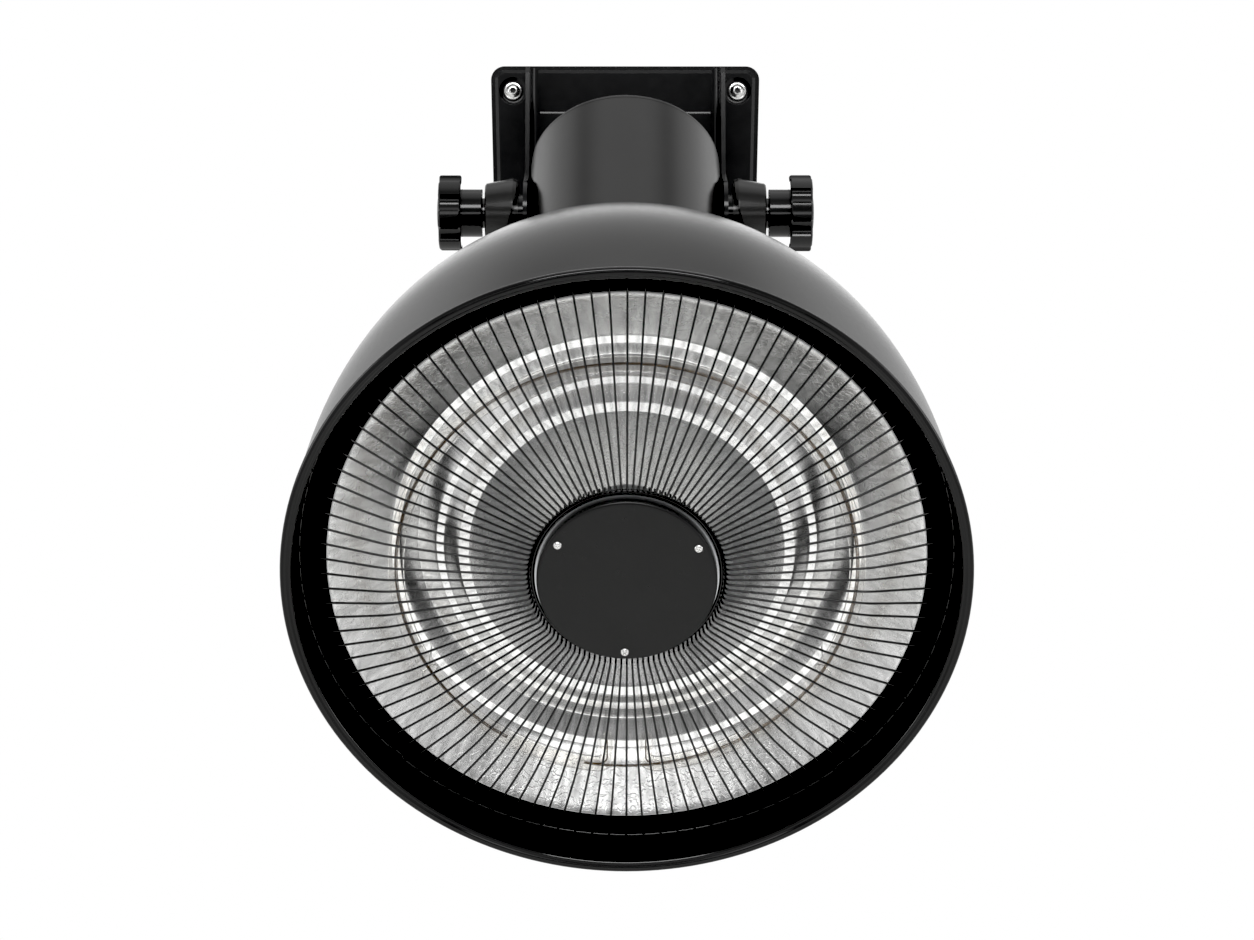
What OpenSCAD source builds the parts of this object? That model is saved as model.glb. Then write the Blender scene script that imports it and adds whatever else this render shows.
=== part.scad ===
// Wall-mounted halogen heater: a round dome shade on an angled neck,
// clamped by two star knobs between the arms of a wall bracket.
// The wall is the plane y = 0, the heater stands in front of it towards -Y, and +Z is up.
// The origin is the centre of the four wall screws at the plate's back face.

/* [Shade] */
// Outer diameter of the shade over its rolled rim
rim_d = 425; // [380:5:460]
// Diameter of the rolled bead at the mouth
bead_d = 9; // [6:0.5:12]
// Distance from the mouth to where the dome's curve would close
dome_depth = 300; // [260:5:330]
// Fullness of the dome's curve, higher is squarer
dome_power = 2.55; // [2:0.05:3.2]
// Thickness of the spun sheet
shell_t = 1.6; // [1:0.1:2.5]
// Angle of the mouth below the horizontal at rest
mouth_tilt = 30; // [10:1:45]

/* [Neck] */
// Outer diameter of the neck
neck_d = 139; // [120:1:150]
// Angle between the neck and the shade's own axis
neck_bend = 17.5; // [10:0.5:22]
// Distance behind the mouth at which the neck's axis meets the shade's axis
bend_depth = 200; // [170:5:220]
// Distance from that point to the neck's closed end
neck_reach = 283; // [270:1:300]
// Distance from the neck's closed end to the pivot
pivot_inset = 50; // [45:1:55]

/* [Grille] */
// Number of radial wires
wire_count = 112; // [72:4:120]
// Thickness of a radial wire
wire_d = 1.5; // [1:0.1:1.8]
// Diameter of the hub disc
hub_d = 111.4; // [90:0.2:120]
// Radius of the circle of hub screws
hub_screw_r = 49.8; // [36:0.2:50]
// Angle of the first hub screw
hub_screw_angle = 28.5; // [0:0.5:119]

/* [Lamp and reflector] */
// Distance from the reflector's front edge in to the ring lamp's centre line
lamp_inset = 43.5; // [40:0.5:48]
// Diameter of the lamp's quartz tube
lamp_tube_d = 10; // [8:0.5:11]
// Distance of the lamp behind the mouth
lamp_depth = 19; // [18:0.5:22]
// Width of the black band between the reflector's front edge and the rim's outside
black_band = 26.5; // [24:0.5:34]

/* [Bracket] */
// Width of the wall plate at its top
plate_w = 204; // [190:1:230]
// Width of the wall plate at its bottom
plate_w_low = 194; // [180:1:230]
// Height of the wall plate
plate_h = 200; // [180:1:240]
// Distance between wall screws across
screw_dx = 170; // [160:1:176]
// Distance between wall screws up and down
screw_dz = 162; // [150:1:168]
// Distance of the pivot in front of the wall
pivot_out = 98; // [96:1:110]
// Distance of the pivot below the middle of the plate
pivot_drop = 24; // [10:1:40]
// Diameter of the clamping studs
stud_d = 8; // [6:1:10]

/* [Knobs] */
// Diameter over the lobes of a knob
knob_d = 55; // [45:1:63]
// Number of lobes
knob_lobes = 7; // [5:1:9]

/* [Hidden] */
$fn = 96;
rim_r = rim_d / 2;
dome_r = rim_r - 2.8;
reflector_r = rim_r - black_band;
lamp_r = reflector_r - lamp_inset;
crown_s = dome_depth * 0.973;
profile_steps = 26;

neck_r = neck_d / 2;
neck_wall = 2;
cap_t = 3;
cap_screw_r = neck_r - 14.5;
gland_drop = 30;
pivot_along = neck_reach - pivot_inset;
shade_turn = -(90 - mouth_tilt);
neck_turn = shade_turn + neck_bend;
neck_back = [0, -sin(neck_turn), cos(neck_turn)];
shade_back = [0, -sin(shade_turn), cos(shade_turn)];
pivot = [0, -pivot_out, -pivot_drop];
bend = pivot - pivot_along * neck_back;
mouth = bend - bend_depth * shade_back;

wall_gap = 1.3;
arm_in = neck_r + wall_gap;
arm_t = 3;
pad_r = 18.5;
pad_x = arm_in - 0.3;
doubler_x = arm_in + arm_t;
doubler_t = 3.7;
knuckle_x = doubler_x + doubler_t;
knuckle_len = 24;
knuckle_r_in = 25;
knuckle_r_out = 21.5;
washer_x = knuckle_x + knuckle_len;
washer_t = 2.2;
washer_r = 10.9;
collar_x = washer_x + washer_t;
collar_len = 14.9;
collar_r = 17.3;
star_x = collar_x + collar_len;
star_t = 16.2;
stud_r = stud_d / 2;
run_gap = 0.06;
insert_in = 50;
insert_r = 9;

plate_t = 3;
pan_t = 1.5;
web_t = 3;
web_y = plate_t + pan_t;
web_top = 64.5;
channel_top = plate_h / 2 - 1;
channel_low = -plate_h / 2 + 14;
screw_r = 3;
screw_reach = 32;
arm_shoulder = 62;
arm_slope = 10;
bend_r = 5;
ear_r = 24;
stem_r = 13;
knuckle_lean = 12;

hub_r = hub_d / 2;
hub_front = 5.8;
hub_skirt = 13;
hub_ring_r = hub_r + 2.8;
ring_wire_d = 3;
wire_front = 8.5;
wire_in = hub_ring_r + ring_wire_d / 2 + wire_d / 2;
outer_ring_r = rim_r - 9.5;
outer_ring_s = 29;
wire_out_s = outer_ring_s - ring_wire_d / 2 - wire_d / 2;
frame_s = 32.7;
frame_t = 1.5;
frame_r = dome_r - shell_t - 0.6;

band_s = 48.3;
sheet_t = 1.2;
shield_s = 62;
shield_t = 0.8;
// the inner cone of the reflector runs on to a small flat centre
cone_r = lamp_r - 43.9;
cone_s = band_s - 4.8;
cone_slope = 0.506;
centre_r = 30;
centre_s = cone_s + cone_slope * (cone_r - centre_r);
shield_back = centre_s + sheet_t + 2.6;
lamp_gap = 5;
leg_end = 75;

// frames: local +Z runs back along the shade's or the neck's axis, local +Y points down
module in_shade() translate(mouth) rotate([shade_turn, 0, 0]) children();
module in_neck() translate(bend) rotate([neck_turn, 0, 0]) children();
// local +Z points out to one side along the pivot axis
module at_pivot(side) translate(pivot) rotate([0, 90 * side, 0]) children();

// radius of the dome at distance s behind the mouth, for a sheet offset inwards by t
function dome_at(s, t = 0) = (dome_r - t) * sqrt(1 - pow(s / (dome_depth - t), dome_power));
// distances along the dome, closer together towards the crown
function dome_steps(s0) = [for (i = [0:profile_steps]) s0 + (crown_s - s0) * sin(90 * i / profile_steps)];

module dome_solid(t, s0) {
    steps = dome_steps(s0);
    rotate_extrude()
        polygon(concat([[0, s0]],
                       [for (s = steps) [dome_at(min(s, crown_s - t), t), min(s, crown_s - t)]],
                       [[0, crown_s - t]]));
}

module ring(r, d, s) translate([0, 0, s]) rotate_extrude() translate([r, 0]) circle(d = d, $fn = 32);
module disc(r, s0, s1) translate([0, 0, s0]) cylinder(r = r, h = s1 - s0);
module tube(ro, ri, s0, s1) difference() {
    disc(ro, s0, s1);
    disc(ri, s0 - 1, s1 + 1);
}
module around(count, first = 0) for (i = [0:count - 1]) rotate([0, 0, first + i * 360 / count]) children();
module mirror_pair() {
    children();
    mirror([1, 0, 0]) children();
}

module dome_shade() color([0.09, 0.09, 0.09]) difference() {
    in_shade() difference() {
        dome_solid(0, bead_d + 0.02);
        dome_solid(shell_t, bead_d - 2);
    }
    in_neck() disc(neck_r * 0.5, bend_depth * 0.2, bend_depth);
}

// rolled hem of the mouth: two ridges with a groove outside, a rounded front and a face that slopes inwards
hem_line = [
    [2.8, bead_d], [0.6, bead_d * 0.92], [0.3, bead_d * 0.82], [0.5, bead_d * 0.7], [1.1, bead_d * 0.6],
    [0.4, bead_d * 0.5], [0, bead_d * 0.38], [0, bead_d * 0.2], [0.3, bead_d * 0.08], [1, 0],
    [bead_d * 0.3, bead_d * 0.06], [bead_d * 0.75, bead_d * 0.33], [bead_d * 0.86, bead_d * 0.5],
    [bead_d * 0.8, bead_d * 0.9], [bead_d * 0.7, bead_d]];
module rim_bead() color([0.07, 0.07, 0.07]) in_shade() rotate_extrude()
    polygon([for (p = hem_line) [rim_r - p[0], p[1]]]);

module neck_tube() color([0.09, 0.09, 0.09]) difference() {
    in_neck() tube(neck_r, neck_r - neck_wall, 30, neck_reach - cap_t);
    in_shade() dome_solid(0, 5);
    mirror_pair() at_pivot(1) disc(insert_r, neck_r - 12, neck_r + 5);
}

// closed end with a rounded edge and a short lip inside the tube
module neck_cap() color([0.09, 0.09, 0.09]) in_neck() difference() {
    rotate_extrude() polygon([
        [0, neck_reach - cap_t],
        [neck_r - neck_wall - 2.2, neck_reach - cap_t],
        [neck_r - neck_wall - 2.2, neck_reach - cap_t - 6],
        [neck_r - neck_wall - 0.2, neck_reach - cap_t - 6],
        [neck_r - neck_wall - 0.2, neck_reach - cap_t],
        [neck_r, neck_reach - cap_t],
        [neck_r, neck_reach - 1.6],
        [neck_r - 0.5, neck_reach - 0.5],
        [neck_r - 1.6, neck_reach],
        [0, neck_reach]]);
    around(4, 45) translate([cap_screw_r, 0, 0]) disc(2.1, neck_reach - 10, neck_reach + 1);
    gland_place() disc(8.1, neck_reach - 10, neck_reach + 1);
}

module cap_tabs() color([0.35, 0.35, 0.36]) in_neck() around(4, 45) difference() {
    union() {
        translate([cap_screw_r, 0, 0]) disc(6, neck_reach - cap_t - 12, neck_reach - cap_t);
        translate([cap_screw_r, -3, neck_reach - cap_t - 12]) cube([12.3, 6, 5.5]);
    }
    translate([cap_screw_r, 0, 0]) disc(2.05, neck_reach - cap_t - 13, neck_reach);
}

module cap_screws() color([0.6, 0.6, 0.6]) in_neck() around(4, 45) translate([cap_screw_r, 0, 0]) {
    disc(2, neck_reach - cap_t - 10, neck_reach);
    pan_head(3.8, neck_reach, 2.4);
}
// low round head with a cross recess, on a face at height s
module pan_head(r, s, h) difference() {
    union() {
        disc(r, s, s + h * 0.55);
        translate([0, 0, s + h * 0.55]) cylinder(r1 = r, r2 = r * 0.62, h = h * 0.45);
    }
    for (a = [0, 90])
        rotate([0, 0, a + 20]) translate([-r * 0.5, -r * 0.11, s + h * 0.45]) cube([r, r * 0.22, h]);
}

module gland_place() translate([0, gland_drop, 0]) children();
module cable_gland() color([0.06, 0.06, 0.06]) in_neck() gland_place() difference() {
    union() {
        disc(8, neck_reach - cap_t - 11, neck_reach + 1);
        translate([0, 0, neck_reach]) cylinder(r = 12.7, h = 5, $fn = 6);
        disc(10, neck_reach + 5, neck_reach + 7);
        translate([0, 0, neck_reach + 7]) cylinder(r = 12.1, h = 7, $fn = 6);
        translate([0, 0, neck_reach + 14]) cylinder(r1 = 9.6, r2 = 7, h = 3.5);
    }
    disc(4.4, neck_reach - 20, neck_reach + 20);
}
module gland_nut() color([0.06, 0.06, 0.06]) in_neck() gland_place() difference() {
    translate([0, 0, neck_reach - cap_t - 5]) cylinder(r = 12.4, h = 5, $fn = 6);
    disc(8, neck_reach - 30, neck_reach);
}

// saddle pads outside the neck that the arms clamp on
module pivot_pads() color([0.12, 0.12, 0.12]) difference() {
    mirror_pair() at_pivot(1) tube(pad_r, insert_r, neck_r - 9, pad_x);
    in_neck() disc(neck_r, 100, neck_reach + 40, $fn = 360);
}
module pivot_inserts() color([0.55, 0.55, 0.56]) mirror_pair() at_pivot(1) difference() {
    union() {
        disc(insert_r, insert_in, pad_x);
        disc(15, insert_in, neck_r - neck_wall - 1.8);
    }
    disc(stud_r + run_gap, insert_in - 1, pad_x + 1);
}

// front face of the stepped reflector from its rim to its middle, as radius and depth
reflector_front = [
    [reflector_r + 6, frame_s - sheet_t],
    [reflector_r + 0.6, frame_s - sheet_t],
    [reflector_r, 24.7],
    [lamp_r + 4.9, band_s],
    [lamp_r - 0.2, band_s],
    [lamp_r - 11.5, band_s + 9.7],
    [lamp_r - 23.4, band_s + 1.7],
    [lamp_r - 27.8, band_s + 1.7],
    [lamp_r - 37.6, cone_s],
    [cone_r, cone_s],
    [centre_r, centre_s],
    [0, centre_s]];
module reflector_dish() color([0.85, 0.85, 0.86]) in_shade() difference() {
    rotate_extrude() polygon(concat(
        reflector_front,
        [for (i = [len(reflector_front) - 1:-1:0]) reflector_front[i] + [i == 2 || i == 1 ? -1.2 : 0, sheet_t]]));
    lamp_legs_place() disc(7, 30, 80);
}
module reflector_frame() color([0.03, 0.03, 0.03]) in_shade() tube(frame_r, reflector_r - 8, frame_s, frame_s + frame_t);
module frame_brackets() color([0.4, 0.4, 0.41]) in_shade() around(4, 45) {
    translate([reflector_r + 11, -8, frame_s + frame_t]) cube([frame_r - 1.6 - reflector_r - 11, 16, 1.8]);
    translate([frame_r - 2.4, -8, frame_s + frame_t]) cube([1.6, 16, 12]);
}
module heat_shield() color([0.6, 0.6, 0.6]) in_shade() difference() {
    front = [
        [reflector_r + 9, frame_s + frame_t], [reflector_r, frame_s + frame_t],
        [lamp_r + 13.5, shield_s], [lamp_r - 13.5, shield_s],
        [centre_r + 15, shield_back], [14, shield_back]];
    rotate_extrude() polygon(concat(front, [for (i = [len(front) - 1:-1:0]) front[i] + [0, shield_t]]));
    lamp_legs_place() disc(7, 40, 90);
}
module shield_spacers() color([0.6, 0.6, 0.6]) in_shade() around(3, 30) translate([centre_r - 10, 0, 0])
    disc(4, centre_s + sheet_t, shield_back);
module terminal_block() color([0.85, 0.83, 0.76]) in_shade() difference() {
    translate([-26, -11, shield_back + shield_t]) cube([52, 22, 18]);
    for (x = [-17, 0, 17]) {
        translate([x, 20, shield_back + 10]) rotate([90, 0, 0]) cylinder(r = 2.6, h = 40);
        translate([x, -5, shield_back + 10]) cylinder(r = 2.4, h = 20);
        translate([x, 5, shield_back + 10]) cylinder(r = 2.4, h = 20);
    }
}

// places its children at both ends of the ring lamp, at the foot of the ring
module lamp_legs_place() for (a = [90 - lamp_gap, 90 + lamp_gap])
    rotate([0, 0, a]) translate([lamp_r, 0, 0]) children();
module lamp_arc(d, past) translate([0, 0, lamp_depth]) rotate([0, 0, 90 + lamp_gap + past])
    rotate_extrude(angle = 360 - 2 * (lamp_gap + past)) translate([lamp_r, 0]) circle(d = d, $fn = 32);
lamp_turn = asin(lamp_tube_d / 2 / lamp_r);
module lamp_tube() color([0.95, 0.95, 0.95, 0.35]) in_shade() difference() {
    lamp_arc(lamp_tube_d, lamp_turn);
    lamp_arc(lamp_tube_d - 2.4, lamp_turn + 0.8);
}
module lamp_legs() color([0.95, 0.95, 0.95, 0.35]) in_shade() lamp_legs_place()
    disc(lamp_tube_d / 2, lamp_depth - lamp_tube_d / 2, leg_end);
module lamp_filament() color([0.55, 0.35, 0.15]) in_shade() lamp_arc(1.8, lamp_turn + 1.2);
module lamp_caps() color([0.9, 0.88, 0.82]) in_shade() lamp_legs_place() difference() {
    disc(9, shield_s + shield_t, 86);
    disc(lamp_tube_d / 2 + 0.1, shield_s, leg_end + 0.3);
    disc(1.6, shield_s, 90);
}
module lamp_clips() color([0.7, 0.7, 0.7]) in_shade() around(3, 30) translate([lamp_r, 0, lamp_depth]) {
    rotate([90, 0, 0]) rotate_extrude() translate([lamp_tube_d / 2 + 0.65, 0]) circle(d = 1.2, $fn = 16);
    translate([1, 0, lamp_tube_d / 2 + 0.6]) cylinder(d = 1.2, h = band_s - lamp_depth - lamp_tube_d / 2 - 0.6);
}

// a wire's centre line as radius and depth: tucked behind the hub, level over the lamp, swept back to the rim
wire_line = [
    [wire_in, 17.5],
    [wire_in, wire_front],
    [lamp_r + 7, wire_front],
    [reflector_r + 4, 17.5],
    [outer_ring_r + 0.8, wire_out_s]];
wire_bend = [0, 4, 60, 25, 0];
clip_angle = 90 + (floor(wire_count / 8) + 0.5) * 360 / wire_count;
function heading(a, b) = atan2(b[1] - a[1], b[0] - a[0]);
function wrap(a) = a > 180 ? a - 360 : (a < -180 ? a + 360 : a);
// points of one rounded corner, each as x, y and heading
function corner(i, n) =
    let (p = wire_line[i], h0 = heading(wire_line[i - 1], p), h1 = heading(p, wire_line[i + 1]),
         turn = wrap(h1 - h0), r = wire_bend[i], back = r * tan(abs(turn) / 2), side = sign(turn),
         c = p - back * [cos(h0), sin(h0)] + side * r * [-sin(h0), cos(h0)])
    [for (k = [0:n]) let (h = h0 + turn * k / n) [c[0] + side * r * sin(h), c[1] - side * r * cos(h), h]];
wire_path = concat(
    [[wire_line[0][0], wire_line[0][1], heading(wire_line[0], wire_line[1])]],
    corner(1, 5), corner(2, 2), corner(3, 3),
    [[wire_line[4][0], wire_line[4][1], heading(wire_line[3], wire_line[4])]]);
function beside(p, d) = [p[0] - d * sin(p[2]), p[1] + d * cos(p[2])];
module grille_wires() color([0.05, 0.05, 0.05]) in_shade() around(wire_count, 90)
    rotate([90, 0, 0]) translate([0, 0, -wire_d / 2]) linear_extrude(wire_d)
        polygon(concat([for (p = wire_path) beside(p, wire_d / 2)],
                       [for (i = [len(wire_path) - 1:-1:0]) beside(wire_path[i], -wire_d / 2)]));
module grille_outer_ring() color([0.05, 0.05, 0.05]) in_shade() ring(outer_ring_r, ring_wire_d, outer_ring_s);
// each clip sits midway between two wires
module grille_clips() color([0.05, 0.05, 0.05]) in_shade() around(4, clip_angle) difference() {
    translate([outer_ring_r - 3.2, -3.5, outer_ring_s - 2.6]) cube([6.4, 7, frame_s - outer_ring_s + 2.6]);
    rotate([0, 0, -10]) translate([0, 0, outer_ring_s]) rotate_extrude(angle = 20)
        translate([outer_ring_r, 0]) circle(d = ring_wire_d + 0.1, $fn = 32);
}
module grille_hub_ring() color([0.04, 0.04, 0.04]) in_shade() ring(hub_ring_r, ring_wire_d, 15);
module hub_plate() color([0.04, 0.04, 0.04]) in_shade() difference() {
    disc(hub_ring_r - ring_wire_d / 2 - 0.1, hub_skirt, hub_skirt + 2);
    hub_screw_places() disc(1.55, 0, 30);
}
module hub_screw_places() around(3, -hub_screw_angle) translate([hub_screw_r, 0, 0]) children();
// shallow cover: flat face, softly rounded edge, short skirt down to the hub plate
module hub_cap() color([0.08, 0.08, 0.08]) in_shade() difference() {
    rotate_extrude() polygon([
        [0, hub_front], [hub_r - 1.6, hub_front], [hub_r - 0.5, hub_front + 0.5], [hub_r, hub_front + 1.6],
        [hub_r, hub_skirt], [hub_r - 1.4, hub_skirt], [hub_r - 1.4, hub_front + 1.5], [0, hub_front + 1.5]]);
    hub_screw_places() disc(1.6, 0, 20);
}
module hub_screws() color([0.75, 0.75, 0.75]) in_shade() hub_screw_places() {
    disc(1.5, hub_front - 0.2, hub_skirt + 4);
    translate([0, 0, hub_front]) mirror([0, 0, 1]) pan_head(2.8, 0, 1.8);
}

// star knob along local +Z from its collar: lobed disc, collar and rounded cap
module knob_body(turn) difference() {
    union() {
        disc(collar_r, collar_x, star_x);
        difference() {
            disc(knob_d / 2, star_x, star_x + star_t);
            around(knob_lobes, turn) translate([knob_d / 2 + 5.5, 0, 0]) disc(8.8, star_x - 1, star_x + star_t + 1);
        }
        translate([0, 0, star_x + star_t]) cylinder(r1 = 15, r2 = 11, h = 1.3);
    }
    disc(stud_r, collar_x - 1, star_x + 6);
}
module knob_left() color([0.04, 0.04, 0.04]) at_pivot(-1) knob_body(22);
module knob_right() color([0.04, 0.04, 0.04]) at_pivot(1) knob_body(-8);
module stud() disc(stud_r, insert_in + 2, star_x + 6);
module stud_left() color([0.6, 0.6, 0.6]) at_pivot(-1) stud();
module stud_right() color([0.6, 0.6, 0.6]) at_pivot(1) stud();
module washer() tube(washer_r, stud_r + run_gap, washer_x + 0.05, collar_x - 0.05);
module washer_left() color([0.6, 0.6, 0.6]) at_pivot(-1) washer();
module washer_right() color([0.6, 0.6, 0.6]) at_pivot(1) washer();

// tapered plate outline with round corners, as seen from the front, shrunk by m
module plate_outline(m, r) {
    hh = plate_h / 2 - m - r;
    wt = plate_w / 2 - m - r;
    wb = plate_w_low / 2 - m - r;
    hull() for (c = [[wt, hh], [-wt, hh], [wb, -hh], [-wb, -hh]]) translate(c) circle(r = r, $fn = 32);
}
module upright(y0, y1) translate([0, -y0, 0]) rotate([90, 0, 0]) linear_extrude(y1 - y0) children();
module screw_places() for (x = [-1, 1], z = [-1, 1])
    translate([x * screw_dx / 2, 0, z * screw_dz / 2]) rotate([90, 0, 0]) children();
module wall_plate() color([0.06, 0.06, 0.06]) difference() {
    union() {
        upright(0, plate_t) plate_outline(0, 10.6);
        upright(plate_t, web_y) plate_outline(4, 8);
    }
    screw_places() {
        disc(screw_r + 0.3, -1, web_y + 1);
        translate([0, 0, web_y - 1.2]) cylinder(r1 = 8, r2 = 10.5, h = 1.21);
    }
}
module wall_screws() color([0.75, 0.75, 0.75]) screw_places() difference() {
    union() {
        disc(screw_r, -screw_reach, 0);
        disc(screw_r + 0.2, -0.4, web_y);
        disc(6.6, web_y - 1.2, web_y);
        translate([0, 0, web_y]) cylinder(r1 = 5.25, r2 = 3.2, h = 2.7);
    }
    translate([0, 0, web_y - 0.6]) cylinder(r = 2.31, h = 4, $fn = 6);
}

// U channel: a web on the plate and two side walls that reach forward as rounded ears
module side_wall_outline() {
    d = pivot_out;
    h = pivot[2];
    polygon([[web_y, channel_low], [web_y, channel_top], [arm_shoulder - 4, channel_top - arm_slope + 0.6],
             [arm_shoulder, channel_top - arm_slope - 4], [arm_shoulder + 4, 10], [d, h + ear_r - 0.4],
             [d, h], [d, h - ear_r + 0.4], [arm_shoulder - 14, channel_low + 8],
             [arm_shoulder - 22, channel_low]]);
    translate([d, h]) circle(r = ear_r);
}
// concave bend strip of radius r along a side wall, on a face at distance y from the wall
module bend_strip(r, y, z0, z1) difference() {
    translate([arm_in - r, -y - r, z0]) cube([r, r, z1 - z0]);
    translate([arm_in - r, -y - r, z0 - 1]) cylinder(r = r, h = z1 - z0 + 2);
}
module bracket_channel() color([0.05, 0.05, 0.05]) difference() {
    union() {
        translate([-arm_in, -web_y - web_t, channel_low]) cube([2 * arm_in, web_t, web_top - channel_low]);
        mirror_pair() {
            translate([arm_in, 0, 0]) rotate([90, 0, 90]) linear_extrude(arm_t)
                mirror([1, 0]) side_wall_outline();
            bend_strip(bend_r, web_y + web_t, channel_low, web_top);
            bend_strip(bend_r, web_y, web_top, channel_top - 1);
            at_pivot(1) disc(stem_r, doubler_x, knuckle_x);
        }
    }
    mirror_pair() at_pivot(1) disc(stud_r + 0.5, arm_in - 5, knuckle_x + 5);
}
// tapered knuckle on each arm, its inner face leaning away from the arm below a short stem
module bracket_knuckles() color([0.07, 0.07, 0.07]) mirror_pair() at_pivot(1) difference() {
    union() {
        difference() {
            rotate_extrude() polygon([
                [0, knuckle_x], [knuckle_r_in - 4, knuckle_x], [knuckle_r_in - 1.2, knuckle_x + 1.2],
                [knuckle_r_in, knuckle_x + 4], [knuckle_r_out, washer_x - 1], [knuckle_r_out - 1, washer_x],
                [0, washer_x]]);
            rotate([90, 0, 0]) linear_extrude(4 * knuckle_r_in, center = true) polygon([
                [-knuckle_r_in * 0.7, knuckle_x - 1], [knuckle_r_in + 5, knuckle_x - 1],
                [knuckle_r_in + 5, knuckle_x + knuckle_lean], [-knuckle_r_in * 0.7, knuckle_x]]);
        }
        disc(stem_r, knuckle_x, knuckle_x + knuckle_lean);
    }
    disc(stud_r + 0.5, knuckle_x - 1, washer_x + 1);
}

dome_shade();
rim_bead();
neck_tube();
neck_cap();
cap_tabs();
cap_screws();
cable_gland();
gland_nut();
pivot_pads();
pivot_inserts();
reflector_dish();
reflector_frame();
frame_brackets();
heat_shield();
shield_spacers();
terminal_block();
lamp_tube();
lamp_legs();
lamp_filament();
lamp_caps();
lamp_clips();
grille_wires();
grille_outer_ring();
grille_clips();
grille_hub_ring();
hub_plate();
hub_cap();
hub_screws();
knob_left();
knob_right();
stud_left();
stud_right();
washer_left();
washer_right();
wall_plate();
bracket_channel();
bracket_knuckles();
wall_screws();
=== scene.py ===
# %% [markdown]
# A round halogen heater that hangs on a wall bracket, dressed for its picture.
# The real thing is a spun steel dome on a fat neck, closed by a fan of thin wires, with a ring
# lamp in front of a stepped reflector. The CAD frame already holds every solid in its place, so
# this lesson only gives the visible pieces their true roundness and finish.

# %% Load the frame
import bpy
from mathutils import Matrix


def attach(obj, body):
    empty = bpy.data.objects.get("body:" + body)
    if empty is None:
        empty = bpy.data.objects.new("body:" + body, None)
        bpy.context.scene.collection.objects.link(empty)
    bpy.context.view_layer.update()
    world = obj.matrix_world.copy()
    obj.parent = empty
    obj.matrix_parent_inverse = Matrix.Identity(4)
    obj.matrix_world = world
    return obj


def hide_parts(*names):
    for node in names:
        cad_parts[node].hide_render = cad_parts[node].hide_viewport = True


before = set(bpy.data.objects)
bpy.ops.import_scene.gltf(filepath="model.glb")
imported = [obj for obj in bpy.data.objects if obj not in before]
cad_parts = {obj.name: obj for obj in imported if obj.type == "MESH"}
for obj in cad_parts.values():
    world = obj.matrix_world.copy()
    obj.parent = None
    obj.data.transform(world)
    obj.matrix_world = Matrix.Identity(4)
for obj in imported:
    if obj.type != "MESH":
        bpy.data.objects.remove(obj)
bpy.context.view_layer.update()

import math

import bpy
from mathutils import Matrix, Vector

MM = 0.001

# %% [markdown]
# The camera stands in front of the heater, level with its mouth, and looks up by a little over
# two degrees. The photograph doesn't tell its lens, so a long one of 3000 pixels was chosen. A
# camera in Blender takes its lens in millimetres on a 36 mm sensor, which for an image 1254
# pixels wide makes 36 * 3000 / 1254.

# %% The camera
PHOTO_WIDTH = 1254
FOCAL_PIXELS = 3000
SENSOR_WIDTH = 36
LOOK_UP = 2.35
ASIDE, FROM_WALL, BELOW_SCREWS, TO_MOUTH = 0.006, 2.2656, 0.2995, 1.837
bpy.ops.object.camera_add(location=(-ASIDE, -FROM_WALL, -BELOW_SCREWS),
                          rotation=(math.radians(90 + LOOK_UP), 0, -math.atan(ASIDE / TO_MOUTH)))
camera = bpy.context.object
camera.name = "photo_camera"
camera.data.sensor_width = SENSOR_WIDTH
camera.data.lens = SENSOR_WIDTH * FOCAL_PIXELS / PHOTO_WIDTH
bpy.context.scene.camera = camera
print("lens", round(camera.data.lens, 2), "mm")

# %% [markdown]
# Two tilted frames carry nearly everything. The shade's own axis runs up and back from the middle
# of its mouth. The neck's axis is bent a little from it and crosses the pivot of the tilt.
# A piece is modelled upright round the local Z axis, which is easy, and then laid into its frame.

# %% The frames of the shade, the neck and the pivot
PIVOT = Vector((0, -0.098, -0.024))
SHADE_TURN = math.radians(-60)
NECK_TURN = math.radians(-42.5)
PIVOT_TO_BEND, BEND_TO_MOUTH = 0.233, 0.2


def along(turn, distance):
    """A step in metres along the local Z axis of a frame turned about X."""
    return distance * Vector((0, -math.sin(turn), math.cos(turn)))


BEND = PIVOT - along(NECK_TURN, PIVOT_TO_BEND)
MOUTH = BEND - along(SHADE_TURN, BEND_TO_MOUTH)
SHADE = Matrix.Translation(MOUTH) @ Matrix.Rotation(SHADE_TURN, 4, "X")
NECK = Matrix.Translation(BEND) @ Matrix.Rotation(NECK_TURN, 4, "X")
LEFT_PIVOT = Matrix.Translation(PIVOT) @ Matrix.Rotation(math.radians(-90), 4, "Y")
RIGHT_PIVOT = Matrix.Translation(PIVOT) @ Matrix.Rotation(math.radians(90), 4, "Y")
WALL = Matrix.Rotation(math.radians(90), 4, "X")
print("mouth at", [round(v, 4) for v in MOUTH])

# %% [markdown]
# Modelling tools act on whatever is selected, and the CAD parts come in selected. These helpers
# clear the selection first, and pick vertices or faces by their place, as a hand would by eye.

# %% Helpers for selecting and for modifiers
def select_only(*pieces):
    """Leaves edit mode and selects these pieces alone."""
    if bpy.context.object and bpy.context.object.mode != "OBJECT":
        bpy.ops.object.mode_set(mode="OBJECT")
    bpy.ops.object.select_all(action="DESELECT")
    for piece in pieces:
        piece.select_set(True)
    if pieces:
        bpy.context.view_layer.objects.active = pieces[0]


def edit_all(piece):
    """Opens a piece in edit mode with everything selected."""
    select_only(piece)
    bpy.ops.object.mode_set(mode="EDIT")
    bpy.ops.mesh.select_mode(type="VERT")
    bpy.ops.mesh.select_all(action="SELECT")


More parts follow.
